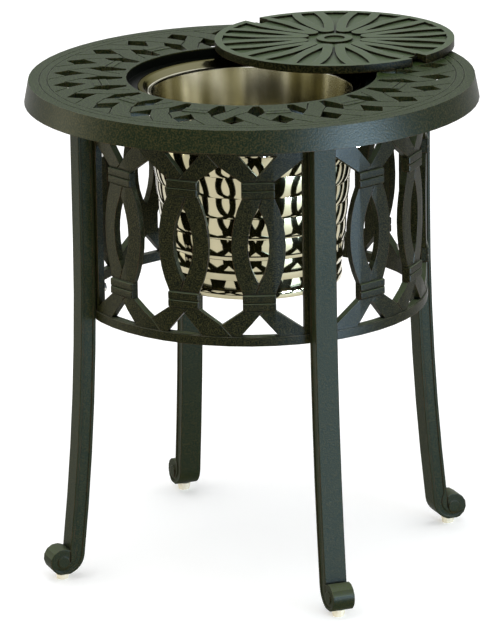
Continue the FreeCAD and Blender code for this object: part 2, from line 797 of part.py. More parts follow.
def lid():
    """The whole lid, made round the origin and laid on the table top."""
    pitch = 360.0 / LOOP_COUNT
    loop = loop_bars()
    loops = [turned(loop, i * pitch) for i in range(LOOP_COUNT)]
    floor = LID_THICKNESS - LID_RELIEF
    hub = moved(bar_of_sides(HUB_SIDES, HUB_RADIUS, LID_RELIEF + 0.5), Vector(0, 0, floor - 0.5))
    disc = lid_disc().fuse(loops + [hub])
    hole = moved(bar_of_sides(HUB_SIDES, HUB_HOLE, LID_RELIEF), Vector(0, 0, floor + 0.6))
    notch = Part.makeBox(NOTCH_WIDTH, NOTCH_DEPTH + 5.0, LID_THICKNESS)
    notch.translate(Vector(-NOTCH_WIDTH / 2, -LID_RADIUS - 5.0, 0))
    disc = disc.cut(Part.makeCompound([hole, notch, turned(notch, 180)])).removeSplitter()
    disc = turned(disc, LID_TURN)
    disc.translate(Vector(LID_PLACE[0], LID_PLACE[1], TABLE_HEIGHT + COLLAR_RISE))
    return disc


def main():
    os.makedirs("parts", exist_ok=True)
    places = ("front", "right", "back", "left")
    quarter = 360.0 / LEG_COUNT
    write("table_top", table_top())
    for i, place in enumerate(places):
        write("leg_" + place, turned(leg(), i * quarter))
        write("glide_" + place, glide(i * quarter))
        following = places[(i + 1) % LEG_COUNT]
        write("apron_panel_" + place + "_" + following, apron_panel((i + 0.5) * quarter))
    write("top_bolts", on_lugs(seated_bolt(TOP_BOLT_LENGTH)))
    write("top_washers", on_lugs(washer()))
    write("leg_bolts", behind_legs(bolt(LEG_BOLT_LENGTH)))
    write("bucket_liner", bucket_liner())
    write("bucket_shell", bucket_shell())
    write("bucket_base", bucket_base())
    write("lid", lid())


main()
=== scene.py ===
# %% [markdown]
# A round patio table with an ice bucket sunk in its middle.
#
# The castings, the steel bucket and the loose lid already exist as exact solids, so this
# script dresses them: it cuts their fine grooves, gives each metal its own finish, sets up
# a plain studio and places the camera. Everything is in metres, unless a comment says
# millimetres, with the floor at zero and the table's axis upright through the origin.

# %% Load the solids
import json
import math

import bpy
from mathutils import Matrix, Vector

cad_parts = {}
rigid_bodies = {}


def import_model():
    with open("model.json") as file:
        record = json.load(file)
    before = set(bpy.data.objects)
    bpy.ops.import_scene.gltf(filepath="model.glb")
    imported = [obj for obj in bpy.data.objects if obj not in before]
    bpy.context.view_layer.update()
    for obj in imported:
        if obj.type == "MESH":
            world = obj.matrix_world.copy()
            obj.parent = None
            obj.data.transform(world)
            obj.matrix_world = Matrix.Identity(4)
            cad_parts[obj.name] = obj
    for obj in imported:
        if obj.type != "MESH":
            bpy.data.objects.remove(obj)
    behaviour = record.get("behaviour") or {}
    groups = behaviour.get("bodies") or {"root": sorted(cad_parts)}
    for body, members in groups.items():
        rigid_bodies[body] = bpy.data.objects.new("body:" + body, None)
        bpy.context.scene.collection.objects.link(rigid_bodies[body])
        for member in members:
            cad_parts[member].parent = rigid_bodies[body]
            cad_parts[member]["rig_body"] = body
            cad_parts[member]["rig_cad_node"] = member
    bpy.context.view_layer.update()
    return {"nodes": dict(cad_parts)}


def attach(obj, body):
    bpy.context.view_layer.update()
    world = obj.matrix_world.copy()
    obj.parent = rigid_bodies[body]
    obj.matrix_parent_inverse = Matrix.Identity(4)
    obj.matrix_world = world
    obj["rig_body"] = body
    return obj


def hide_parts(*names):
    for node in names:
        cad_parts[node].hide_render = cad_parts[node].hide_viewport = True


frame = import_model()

NODES = frame["nodes"]
MM = 0.001
print("solids:", len(NODES))

# %% [markdown]
# The photograph was taken with a long lens from well above the table top, so its legs stay
# nearly parallel. A camera is often made to track a target, but a tracking camera always
# stands level, and this picture leans by a little under one degree. So the camera is placed
# by its right, up and forward directions instead.

# %% Camera
CAMERA_AT = Vector((-2.0535, -5.2015, 1.9837))
CAMERA_AIM = Vector((-0.0056, 0.0023, 0.3088))
CAMERA_LEAN = -0.014317
LENS, SENSOR = 268.06, 36.0

bpy.ops.object.camera_add()
camera = bpy.context.object
camera.name = "photo_camera"
camera.data.lens = LENS
camera.data.sensor_width = SENSOR
camera.data.clip_end = 50.0
forward = (CAMERA_AIM - CAMERA_AT).normalized()
right = forward.cross(Vector((0, 0, 1))).normalized()
up = right.cross(forward)
lean_right = right * math.cos(CAMERA_LEAN) + up * math.sin(CAMERA_LEAN)
lean_up = up * math.cos(CAMERA_LEAN) - right * math.sin(CAMERA_LEAN)
axes = Matrix((lean_right, lean_up, -forward)).transposed()
camera.matrix_world = Matrix.Translation(CAMERA_AT) @ axes.to_4x4()
bpy.context.scene.camera = camera
print("camera looks down by", round(math.degrees(math.asin(-forward.z)), 1), "degrees")

# %% [markdown]
# An operator acts on all that is selected, and the solids come in selected. These helpers
# clear the selection first, so that each later step works on one piece, as by hand.


# %% Selection helpers
def only(piece):
    """Selects one object and makes it the active one."""
    bpy.ops.object.select_all(action="DESELECT")
    piece.select_set(True)
    bpy.context.view_layer.objects.active = piece
    return piece


def edit(piece, kind="VERT"):
    """Opens a piece in edit mode with all of it selected."""
    only(piece)
    bpy.ops.object.mode_set(mode="EDIT")
    bpy.ops.mesh.select_mode(type=kind)
    bpy.ops.mesh.select_all(action="SELECT")


def done():
    bpy.ops.object.mode_set(mode="OBJECT")


def join_into(piece, others):
    """Joins other pieces into one piece."""
    only(piece)
    for other in others:
        other.select_set(True)
    if others:
        bpy.ops.object.join()
    return piece


# %% [markdown]
# The real castings have creases and grooves that are too fine for the solids. They could be
# painted as bump, but a groove in the mesh also shows in the outline and catches real
# shadow. So each casting is copied, thin bars are laid on the copy and taken away from it,
# and the copy stands for the solid. Its broad flat faces set the normals, so that the
# joins between triangles don't show as facets in the sheen.

# %% Copy a solid
WELD = 0.00001
SOFT_ANGLE = math.radians(28)


def settle(piece):
    """Shades shallow angles smooth, and lets the broad flat faces set the normals."""
    only(piece)
    bpy.ops.mesh.customdata_custom_splitnormals_clear()
    bpy.ops.object.shade_smooth_by_angle(angle=SOFT_ANGLE, keep_sharp_edges=False)
    broad = piece.modifiers.new("normals", "WEIGHTED_NORMAL")
    broad.mode = "FACE_AREA_WITH_ANGLE"
    broad.keep_sharp = True
    bpy.ops.object.modifier_apply(modifier=broad.name)


def welded(name):
    """A copy of a solid with its triangles joined."""
    only(NODES[name])
    bpy.ops.object.duplicate()
    piece = bpy.context.object
    piece.name = name + "_cast"
    edit(piece)
    bpy.ops.mesh.remove_doubles(threshold=WELD)
    done()
    settle(piece)
    return piece


def stand_for(piece, name, body):
    """Lets a piece stand for a solid and ride on its body."""
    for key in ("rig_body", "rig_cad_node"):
        if key in piece:
            del piece[key]
    piece.parent = None
    piece.matrix_world = Matrix.Identity(4)
    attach(piece, body)
    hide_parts(name)
    return piece


# %% Cut a copy
def cut_away(piece, cutters):
    """Takes a list of loose cutters away from a piece."""
    tool = join_into(cutters[0], cutters[1:])
    only(piece)
    cut = piece.modifiers.new("cuts", "BOOLEAN")
    cut.operation = "DIFFERENCE"
    cut.solver = "EXACT"
    cut.use_self = True
    cut.object = tool
    bpy.ops.object.modifier_apply(modifier=cut.name)
    only(tool)
    bpy.ops.object.delete()
    settle(piece)


# %% Cast copies
PLACES = ("front", "right", "back", "left")
PANELS = ["apron_panel_" + a + "_" + b for a, b in zip(PLACES, PLACES[1:] + PLACES[:1])]
LEGS = ["leg_" + place for place in PLACES]
GLIDES = ["glide_" + place for place in PLACES]
FASTENERS = ["top_bolts", "leg_bolts", "top_washers"]
pieces = {}
for name in ["table_top"] + PANELS + LEGS:
    pieces[name] = stand_for(welded(name), name, "table")
pieces["lid"] = stand_for(welded("lid"), "lid", "lid")
print("castings copied:", len(pieces))
for name in GLIDES + FASTENERS:
    pieces[name] = NODES[name]

# %% [markdown]
# The apron is cast as straps that pass over and under each other, so a short seam shows
# wherever one dips. A seam is a thin square bar on edge, half sunk in the face, which
# leaves a V like the real one. Places are measured round the apron's outer face in
# millimetres, across from the middle of an oval or of a gap, and up from the apron's
# middle. The upper half is the lower half turned over, so each seam is cut twice.

# %% Apron pattern
APRON_RADIUS = 0.214
APRON_MIDDLE = 0.457
QUARTER = 90.0
UNIT = 25.0
OVALS = (-UNIT, 0.0, UNIT)
GAPS = (-UNIT / 2, UNIT / 2)
SEAM_WIDTH = 0.0019
SEAMS_IN_OVAL = [((0, 85), (-6.5, 78.5)), ((0, 47.0), (5.0, 60.5))]
SEAM_IN_GAP = ((0, 97.5), (-13.5, 112.0))
COLLAR_AT = 69.5
COLLAR_EDGE = 10.2
EDGE_HALF, CENTRE_HALF = 19, 24
CENTRE_PROUD = 0.0016


# %% Apron seams
def face_turn(angle):
    """The turn that carries a thing made on -Y to an angle towards +X."""
    return Matrix.Rotation(math.radians(angle), 4, "Z")


def seam_bar(angle, start, end, sense, radius=APRON_RADIUS):
    """A thin bar on edge along a seam, half sunk in the apron's outer face."""
    a = Vector((sense * start[0], 0, sense * start[1])) * MM
    b = Vector((sense * end[0], 0, sense * end[1])) * MM
    middle, along = (a + b) / 2, b - a
    bpy.ops.mesh.primitive_cube_add(size=1.0)
    bar = bpy.context.object
    stretch = Matrix.Diagonal((along.length, SEAM_WIDTH, SEAM_WIDTH, 1))
    edge_on = Matrix.Rotation(math.radians(45), 4, "X")
    lean = Matrix.Rotation(-math.atan2(along.z, along.x), 4, "Y")
    place = Matrix.Translation(middle + Vector((0, -radius, APRON_MIDDLE)))
    bar.matrix_world = face_turn(angle) @ place @ lean @ edge_on @ stretch
    return bar


def panel_seams(middle):
    """The bars for every seam and collar groove of a panel."""
    bars = []
    for sense in (-1, 1):
        for unit in OVALS:
            for start, end in SEAMS_IN_OVAL:
                bars.append(seam_bar(middle + unit, start, end, sense))
            for edge in (COLLAR_AT - COLLAR_EDGE, COLLAR_AT + COLLAR_EDGE):
                bars.append(seam_bar(middle + unit, (-EDGE_HALF, edge), (EDGE_HALF, edge), sense))
            centre = (-CENTRE_HALF, COLLAR_AT), (CENTRE_HALF, COLLAR_AT)
            bars.append(seam_bar(middle + unit, *centre, sense, APRON_RADIUS + CENTRE_PROUD))
        for gap in GAPS:
            bars.append(seam_bar(middle + gap, *SEAM_IN_GAP, sense))
    return bars


# %% [markdown]
# Two rounded ridges run across each collar, as if a cord bound the straps. Each ridge is a
# bevelled bar that is joined to its panel with most of its depth inside the collar, which
# needs no cut and keeps its edges soft.

# %% Collar ridges
RIDGE_SIZE = (0.0402, 0.0040, 0.0094)
RIDGE_OUT = 0.0022
RIDGE_ROUND = 0.0017
RIDGE_PITCH = 0.0100


def collar_ridge(angle, height):
    """One of the two rounded bars of a collar."""
    bpy.ops.mesh.primitive_cube_add(size=1.0)
    bar = bpy.context.object
    edit(bar, "EDGE")
    bpy.ops.transform.resize(value=RIDGE_SIZE)
    bpy.ops.mesh.bevel(offset=RIDGE_ROUND, segments=3, affect="EDGES")
    done()
    out = -(APRON_RADIUS + RIDGE_OUT - RIDGE_SIZE[1] / 2)
    bar.matrix_world = face_turn(angle) @ Matrix.Translation((0, out, APRON_MIDDLE + height))
    bpy.ops.object.transform_apply(location=True, rotation=True, scale=True)
    return bar


def add_ridges(piece, middle):
    """Puts the ridges on the collars of a panel, two to a collar."""
    ridges = []
    for unit in OVALS:
        for sense in (-1, 1):
            for step in (-0.5, 0.5):
                height = sense * COLLAR_AT * MM + step * RIDGE_PITCH
                ridges.append(collar_ridge(middle + unit, height))
    join_into(piece, ridges)
    settle(piece)


# %% Apron panels
for i, name in enumerate(PANELS):
    middle = QUARTER / 2 + QUARTER * i
    cut_away(pieces[name], panel_seams(middle))
    add_ridges(pieces[name], middle)
    print(name, len(pieces[name].data.polygons), "faces")

# %% [markdown]
# Round things are turned, as on a lathe: one point is moved and extruded from corner to
# corner of an outline, and the whole line is spun about the table's axis. A ready-made
# cylinder would give only straight walls.

# %% Turning
POINT = 0.01
SEAM_WELD = 0.00002
TURN_STEPS, TURN_ANGLE = 120, math.radians(35)


def traced(corners):
    """A line extruded from corner to corner, left open in edit mode."""
    bpy.ops.mesh.primitive_plane_add(size=POINT)
    piece = bpy.context.object
    edit(piece)
    bpy.ops.mesh.merge(type="CENTER")
    bpy.ops.transform.translate(value=corners[0])
    for here, there in zip(corners, corners[1:]):
        bpy.ops.mesh.extrude_region_move(TRANSFORM_OT_translate={"value": there - here})
    bpy.ops.mesh.select_all(action="SELECT")
    return piece


def turned(name, outline, steps=TURN_STEPS):
    """A piece spun from (radius, height) corners, in millimetres."""
    piece = traced([Vector((radius, 0, height)) * MM for radius, height in outline])
    piece.name = name
    bpy.ops.mesh.spin(steps=steps, angle=math.tau, center=(0, 0, 0), axis=(0, 0, 1))
    bpy.ops.mesh.select_all(action="SELECT")
    bpy.ops.mesh.remove_doubles(threshold=SEAM_WELD)
    bpy.ops.mesh.normals_make_consistent(inside=False)
    done()
    only(piece)
    bpy.ops.object.shade_smooth_by_angle(angle=TURN_ANGLE)
    print(name, len(piece.data.polygons), "faces")
    return piece


# %% [markdown]
# Two fine grooves run round the flat border of the top. Each is a turned ring with a
# pointed section, taken away from the casting. The places are in millimetres.

# %% Border grooves
BORDER_GROOVES = (250.5, 260.5)
GROOVE_HALF = 1.1
GROOVE_FLOOR, GROOVE_ABOVE = 615.0, 616.5
GROOVE_STEPS = 144
for radius in BORDER_GROOVES:
    notch = [
        (radius - GROOVE_HALF, GROOVE_ABOVE),
        (radius, GROOVE_FLOOR),
        (radius + GROOVE_HALF, GROOVE_ABOVE),
        (radius - GROOVE_HALF, GROOVE_ABOVE),
    ]
    cut_away(pieces["table_top"], [turned("groove", notch, GROOVE_STEPS)])
print("table_top", len(pieces["table_top"].data.polygons), "faces")

# %% [markdown]
# The lid's relief is a ring of loops like leaves: the slot inside each loop swells in the
# middle, and the valley between two loops opens towards the rim. Half an outline is
# mirrored, traced, filled and raised to a cutter, and twelve of each are cut down to the
# lid's plate. The outlines are pairs of millimetres from the middle and degrees to a side.

# %% Leaf outlines
LID_AT = Vector((0.1514, 0.0982, 0.6167))
LID_TURN = 21.5
LEAF_COUNT = 12
LEAF_PITCH = 360.0 / LEAF_COUNT
PLATE_TOP, LEAF_TOP = 0.0071, 0.0110
SLOT = [(53, 0.0), (66, 2.6), (84, 4.4), (104, 5.0), (124, 4.6), (141.5, 3.6)]
VALLEY = [(58, 0.3), (78, 1.7), (98, 2.6), (118, 4.1), (132, 5.6), (141.5, 6.6)]


# %% Leaves of the lid
def leaf_cutter(half, angle):
    """An upright cutter from half an outline of (radius, degrees) pairs."""
    corners = []
    for radius, swing in half + [(radius, -swing) for radius, swing in reversed(half) if swing]:
        swing = math.radians(swing)
        across = Vector((radius * math.sin(swing), -radius * math.cos(swing), 0)) * MM
        corners.append(across + Vector((0, 0, PLATE_TOP)))
    cutter = traced(corners)
    bpy.ops.mesh.edge_face_add()
    rise = {"value": (0, 0, LEAF_TOP - PLATE_TOP)}
    bpy.ops.mesh.extrude_region_move(TRANSFORM_OT_translate=rise)
    bpy.ops.mesh.select_all(action="SELECT")
    bpy.ops.mesh.normals_make_consistent(inside=False)
    done()
    cutter.matrix_world = Matrix.Translation(LID_AT) @ face_turn(LID_TURN + angle)
    return cutter


leaves = []
for i in range(LEAF_COUNT):
    leaves.append(leaf_cutter(SLOT, LEAF_PITCH * i))
    leaves.append(leaf_cutter(VALLEY, LEAF_PITCH * i + LEAF_PITCH / 2))
cut_away(pieces["lid"], leaves)
print("lid", len(pieces["lid"].data.polygons), "faces")

# %% [markdown]
# The bucket has two skins of polished steel. The outer one is pressed into eight bands
# that swell a little between tight grooves, and ends in a plain band. Each band is a
# shallow curve in the outline, because the way steel mirrors the apron gives every bend
# away. All places are in millimetres.

# %% Shell outline
TAPER = 0.095
SHELL_TOP = (130.9, 596.0)
SHELL_FOOT = [(109.0, 372.6), (108.5, 372.0), (108.5, 370.0)]
SHELL_INSIDE = [(106.9, 370.0), (128.0, 596.0)]
PLAIN_BAND_TOP = 108.9
BAND_PITCH = 26.5
BAND_COUNT = 8
BAND_CUTS = 8
GROOVE_DEPTH = 1.0
GROOVE_LIP = (-0.3, 0.35)


def bowed(start, end, swell, count):
    """Points from start to just before end along a shallow outward curve."""
    points = []
    for i in range(count):
        t = i / count
        out = swell * 4 * t * (1 - t)
        radius = start[0] + (end[0] - start[0]) * t + out
        points.append((radius, start[1] + (end[1] - start[1]) * t))
    return points


def shell_radius(height):
    return SHELL_TOP[0] - TAPER * (SHELL_TOP[1] - height)


def shell_outline():
    """The banded outside from the top down, the foot and the straight inside."""
    points = []
    high = SHELL_TOP[1]
    for i in range(BAND_COUNT):
        low = high - BAND_PITCH
        start = (shell_radius(high) - GROOVE_DEPTH, high)
        end = (shell_radius(low) - GROOVE_DEPTH, low)
        points += bowed(start, end, GROOVE_DEPTH, BAND_CUTS)
        points.append((end[0] + GROOVE_LIP[0], low + GROOVE_LIP[1]))
        high = low
    points.append((PLAIN_BAND_TOP, high))
    return points + SHELL_FOOT + SHELL_INSIDE + points[:1]


# %% [markdown]
# The inner skin hangs from a flange with a rolled edge, a dished cone and a small step, and
# a thick round disc closes the bucket below. Their outlines are short lists of corners,
# because each corner is a bend that the press or the roller really made.

# %% Liner and base outlines
LINER_RIM = [(138.6, 604.1), (139.7, 604.4), (140.0, 605.0), (139.5, 605.7), (138.4, 606.0)]
LINER_DISH = [(136.6, 605.9), (133.6, 605.2), (131.0, 601.6), (128.6, 598.2), (127.6, 597.4)]
LINER_STEP = [(126.4, 597.6), (125.2, 598.2), (124.2, 598.0), (123.6, 597.0), (123.3, 595.0)]
LINER_WALL = [(114.6, 500.0), (106.0, 410.0), (103.0, 380.0), (101.4, 374.0)]
LINER_FLOOR = [(97.6, 371.6), (93.0, 371.0), (0, 371.0)]
LINER_OUTSIDE = [(0, 370.0), (104.2, 370.0), (124.6, 595.6), (127.4, 596.2), (133.4, 604.0)]
LINER = LINER_RIM + LINER_DISH + LINER_STEP + LINER_WALL + LINER_FLOOR + LINER_OUTSIDE
BASE_EDGE = [(106.6, 360.0), (108.4, 360.6), (109.3, 362.4), (109.4, 368.6), (108.8, 370.0)]
BASE = [(0, 360.0)] + BASE_EDGE + [(0, 370.0)]

# %% Bucket
SKINS = (
    ("bucket_shell", shell_outline(), "shell_steel"),
    ("bucket_base", BASE, "shell_steel"),
    ("bucket_liner", LINER + LINER[:1], "liner_steel"),
)
for name, outline, slot in SKINS:
    pieces[name] = stand_for(turned(name + "_turned", outline), name, "bucket")

# %% [markdown]
# A material is a tree of nodes. These helpers add one node, link two, and make the few
# small sums that every finish here needs, so that each finish reads as a short recipe.


# %% Node helpers
def link(tree, source, target):
    tree.links.new(source, target)


def node(tree, kind, **values):
    """Adds a node, and sets its own values or those of its sockets by name."""
    made = tree.nodes.new(kind)
    for key, value in values.items():
        if hasattr(made, key):
            setattr(made, key, value)
        else:
            made.inputs[key].default_value = value
    return made


def combine(tree, operation, first, second):
    """One sum of two values that vary over the surface."""
    made = node(tree, "ShaderNodeMath", operation=operation)
    link(tree, first, made.inputs[0])
    link(tree, second, made.inputs[1])
    return made.outputs[0]


def ramp(tree, value, low, high, kind="SMOOTHSTEP"):
    """A step from 0 at low to 1 at high."""
    step = node(tree, "ShaderNodeMapRange", interpolation_type=kind)
    step.inputs["From Min"].default_value = low
    step.inputs["From Max"].default_value = high
    link(tree, value, step.inputs["Value"])
    return step.outputs["Result"]


def paint(tree, low, high, factor):
    """Mixes two plain colours, or what feeds them, by a factor."""
    mixed = node(tree, "ShaderNodeMix", data_type="RGBA")
    for slot, color in ((6, low), (7, high)):
        if isinstance(color, tuple):
            mixed.inputs[slot].default_value = (*color, 1)
        else:
            link(tree, color, mixed.inputs[slot])
    link(tree, factor, mixed.inputs["Factor"])
    return mixed.outputs[2]


def parts_of(tree, vector):
    """The X, Y and Z of a vector, as outputs of one node."""
    split = node(tree, "ShaderNodeSeparateXYZ")
    link(tree, vector, split.inputs[0])
    return split.outputs


# %% Group and material helpers
def group(name, inputs, outputs):
    """An empty node group with named sockets, and its entry and exit."""
    tree = bpy.data.node_groups.new(name, "ShaderNodeTree")
    for label, kind, value in inputs:
        socket = tree.interface.new_socket(label, in_out="INPUT", socket_type=kind)
        socket.default_value = value
    for label, kind in outputs:
        tree.interface.new_socket(label, in_out="OUTPUT", socket_type=kind)
    return tree, tree.nodes.new("NodeGroupInput"), tree.nodes.new("NodeGroupOutput")


def place_group(tree, kind, **values):
    """A group placed in a material with its own values."""
    placed = node(tree, "ShaderNodeGroup", node_tree=kind)
    for label, value in values.items():
        placed.inputs[label].default_value = value
    return placed


def new_finish(name):
    """A new material, with its tree and its shader."""
    made = bpy.data.materials.new(name)
    made.use_nodes = True
    return made, made.node_tree, made.node_tree.nodes["Principled BSDF"]


def add_bump(tree, shader, height, strength, distance, normal=None):
    """Roughens a finish by a height that varies over the surface."""
    bump = node(tree, "ShaderNodeBump", Strength=strength, Distance=distance)
    link(tree, height, bump.inputs["Height"])
    if normal:
        link(tree, normal, bump.inputs["Normal"])
    link(tree, bump.outputs["Normal"], shader.inputs["Normal"])


# %% [markdown]
# A powder coat has a fine two-tone grain, and so has moulded plastic. Both finishes use it,
# so it is a node group: fine noise mixes a fleck into the base colour, and the same noise
# is given out as a height, so that each fleck is also a tiny bump.

# %% Speckle
FLECK_LOW, FLECK_HIGH = 0.42, 0.68


def make_speckle():
    tree, enter, leave = group("Speckle", [
        ("Base", "NodeSocketColor", (0.1, 0.1, 0.1, 1)),
        ("Fleck", "NodeSocketColor", (0.2, 0.15, 0.1, 1)),
        ("Size", "NodeSocketFloat", 700.0),
        ("Amount", "NodeSocketFloat", 0.5)],
        [("Color", "NodeSocketColor"), ("Height", "NodeSocketFloat")])
    where = node(tree, "ShaderNodeTexCoord")
    fine = node(tree, "ShaderNodeTexNoise", Detail=2.0)
    link(tree, where.outputs["Object"], fine.inputs["Vector"])
    link(tree, enter.outputs["Size"], fine.inputs["Scale"])
    fleck = ramp(tree, fine.outputs["Fac"], FLECK_LOW, FLECK_HIGH, "LINEAR")
    amount = combine(tree, "MULTIPLY", fleck, enter.outputs["Amount"])
    color = paint(tree, enter.outputs["Base"], enter.outputs["Fleck"], amount)
    link(tree, color, leave.inputs["Color"])
    link(tree, fine.outputs["Fac"], leave.inputs["Height"])
    return tree


SPECKLE = make_speckle()
print("group", SPECKLE.name, "with", len(SPECKLE.nodes), "nodes")

# %% [markdown]
# Edges are where hands and cloths rub a coat thin. The Bevel node averages the normal over a small
# radius, so where it parts from the true normal there is an edge. A broad noise breaks the line,
# because real wear comes and goes. The same edge mask also places a pale painted highlight on
# edges that face up.

# %% Edge wear and painted highlight
EDGE_STARTS, EDGE_FULL = 0.99, 0.80
PATCH_SIZE = 60.0
PATCH_LOW, PATCH_HIGH = 0.35, 0.65


def make_edge_wear_and_highlight():
    tree, enter, leave = group("Edge wear and highlight", [
        ("Reach", "NodeSocketFloat", 0.0015),
        ("Strength", "NodeSocketFloat", 1.0)],
        [("Mask", "NodeSocketFloat")])
    rounded = node(tree, "ShaderNodeBevel", samples=4)
    link(tree, enter.outputs["Reach"], rounded.inputs["Radius"])
    true = node(tree, "ShaderNodeNewGeometry")
    turn = node(tree, "ShaderNodeVectorMath", operation="DOT_PRODUCT")
    link(tree, rounded.outputs["Normal"], turn.inputs[0])
    link(tree, true.outputs["Normal"], turn.inputs[1])
    edge = ramp(tree, turn.outputs["Value"], EDGE_STARTS, EDGE_FULL, "LINEAR")
    where = node(tree, "ShaderNodeTexCoord")
    patch = node(tree, "ShaderNodeTexNoise", Scale=PATCH_SIZE, Detail=3.0)
    link(tree, where.outputs["Object"], patch.inputs["Vector"])
    broken = ramp(tree, patch.outputs["Fac"], PATCH_LOW, PATCH_HIGH, "LINEAR")
    worn_and_highlit = combine(tree, "MULTIPLY", edge, broken)
    link(tree, combine(tree, "MULTIPLY", worn_and_highlit, enter.outputs["Strength"]), leave.inputs["Mask"])
    return tree


EDGE_WEAR_AND_HIGHLIGHT = make_edge_wear_and_highlight()
print("group", EDGE_WEAR_AND_HIGHLIGHT.name, "with", len(EDGE_WEAR_AND_HIGHLIGHT.nodes), "nodes")

# %% [markdown]
# The castings wear an antique bronze powder coat: a dark olive brown with fine flecks, satin, and
# dull copper at the rubbed edges. Crevices and the wall of the well are painted darker, as painted
# shade. Faces that look up are painted greyer and greener with pale flecks, and edges that face up
# take a pale painted highlight, as painted light from above. The same recipe serves the top, the
# apron, the legs and the lid, each with its own tones, because light meets them differently.

# %% Well wall
WELL_INSIDE, WELL_OUTSIDE = 0.1543, 0.1547
WELL_DARK, WELL_CLEAR = 0.6138, 0.6150


def outside_well_shade(tree, out_of_painted_shade):
    """Paints the wall of the well dark, as painted shade."""
    where = node(tree, "ShaderNodeTexCoord")
    place = parts_of(tree, where.outputs["Object"])
    flat = node(tree, "ShaderNodeCombineXYZ")
    link(tree, place["X"], flat.inputs["X"])
    link(tree, place["Y"], flat.inputs["Y"])
    radius = node(tree, "ShaderNodeVectorMath", operation="LENGTH")
    link(tree, flat.outputs[0], radius.inputs[0])
    outside = ramp(tree, radius.outputs["Value"], WELL_INSIDE, WELL_OUTSIDE)
    above = ramp(tree, place["Z"], WELL_DARK, WELL_CLEAR)
    return combine(tree, "MULTIPLY", combine(tree, "MAXIMUM", outside, above), out_of_painted_shade)


# %% Bronze tones
# Each part's side and top tones are one coat with its light and shade painted in: faces that look
# up take the top tone.
TOP_TONE = (0.004, 0.012, 0.002)
LID_TONE = (0.060, 0.086, 0.052)
RIM_TONE = (0.075, 0.085, 0.060)
APRON_TONE = (0.002, 0.004, 0.001)
SKIRT_TONE = (0.006, 0.012, 0.004)
LEG_TONE = (0.010, 0.017, 0.008)
FLECK = (0.038, 0.034, 0.011)
# Fleck for faces that look up, part of the painted light from above.
TOP_LIT_FLECK = (0.061, 0.090, 0.025)
COPPER = (0.11, 0.055, 0.030)
# A pale painted highlight for edges that face up.
PAINTED_EDGE_HIGHLIGHT = (0.19, 0.21, 0.16)
# Painted shade for the crevices and the wall of the well.
PAINTED_SHADE = (0.002, 0.003, 0.002)
COAT_ROUGHNESS = 0.40
FINE_GRAIN, COARSE_GRAIN = 720.0, 500.0


# %% Bronze coat
def bronze(name, side, top, rounding, crevice, shine, grain_size=FINE_GRAIN, well=False):
    made, tree, shader = new_finish(name)
    surface = node(tree, "ShaderNodeNewGeometry")
    # Faces that look up are painted in the top tone and fleck, as painted light from above.
    upward = ramp(tree, parts_of(tree, surface.outputs["True Normal"])["Z"], 0.25, 0.75)
    grain = place_group(tree, SPECKLE, Size=grain_size, Amount=0.85)
    link(tree, paint(tree, side, top, upward), grain.inputs["Base"])
    link(tree, paint(tree, FLECK, TOP_LIT_FLECK, upward), grain.inputs["Fleck"])
    rubbed_and_lit_edge = place_group(tree, EDGE_WEAR_AND_HIGHLIGHT, Reach=0.0012, Strength=0.8)
    soft_edge = node(tree, "ShaderNodeBevel", samples=8, Radius=rounding)
    tilt = parts_of(tree, soft_edge.outputs["Normal"])["Z"]
    # Edges that face up are painted pale, as a painted highlight, and the others show copper wear.
    bare_and_highlit = paint(tree, COPPER, PAINTED_EDGE_HIGHLIGHT, ramp(tree, tilt, 0.15, 0.55))
    worn_and_highlit = paint(tree, grain.outputs["Color"], bare_and_highlit, rubbed_and_lit_edge.outputs["Mask"])
    # Crevices, and with well=True the wall of the well, are painted dark as painted shade, from
    # ambient occlusion.
    reach = node(tree, "ShaderNodeAmbientOcclusion", samples=6, Distance=crevice)
    out_of_painted_shade = ramp(tree, reach.outputs["AO"], 0.25, 0.85)
    if well:
        out_of_painted_shade = outside_well_shade(tree, out_of_painted_shade)
    link(tree, paint(tree, PAINTED_SHADE, worn_and_highlit, out_of_painted_shade), shader.inputs["Base Color"])
    shader.inputs["Specular IOR Level"].default_value = shine
    shader.inputs["Roughness"].default_value = COAT_ROUGHNESS
    add_bump(tree, shader, grain.outputs["Height"], 0.5, 0.0004, soft_edge.outputs["Normal"])
    return made


BRONZE = bronze("bronze_coat", APRON_TONE, RIM_TONE, rounding=0.0008, crevice=0.006, shine=0.035)
LEG_BRONZE = bronze("leg_coat", LEG_TONE, RIM_TONE, rounding=0.0020, crevice=0.012, shine=0.016)
LID_BRONZE = bronze("lid_coat", APRON_TONE, LID_TONE, rounding=0.0007, crevice=0.008,
                    shine=0.035, grain_size=COARSE_GRAIN)
TOP_BRONZE = bronze("top_coat", SKIRT_TONE, TOP_TONE, rounding=0.0009, crevice=0.012,
                    shine=0.042, grain_size=COARSE_GRAIN, well=True)
print("bronze coats:", BRONZE.name, LEG_BRONZE.name, LID_BRONZE.name, TOP_BRONZE.name)

# %% [markdown]
# The bucket is polished stainless steel, so its look is what it mirrors. Faint streaks that run
# down it, as rolled sheet has, keep the reflections from looking like glass. Faces that look up
# stay even. The flange of the liner is painted darker, as painted shade inside the well, with less
# tint where it is seen at a glance.

# %% Steel
FLANGE_BELOW, FLANGE_ABOVE = 0.5972, 0.5984
FLANGE_TINT = (0.3, 0.3, 0.3)
FLATTEN = (1, 1, 0.02)


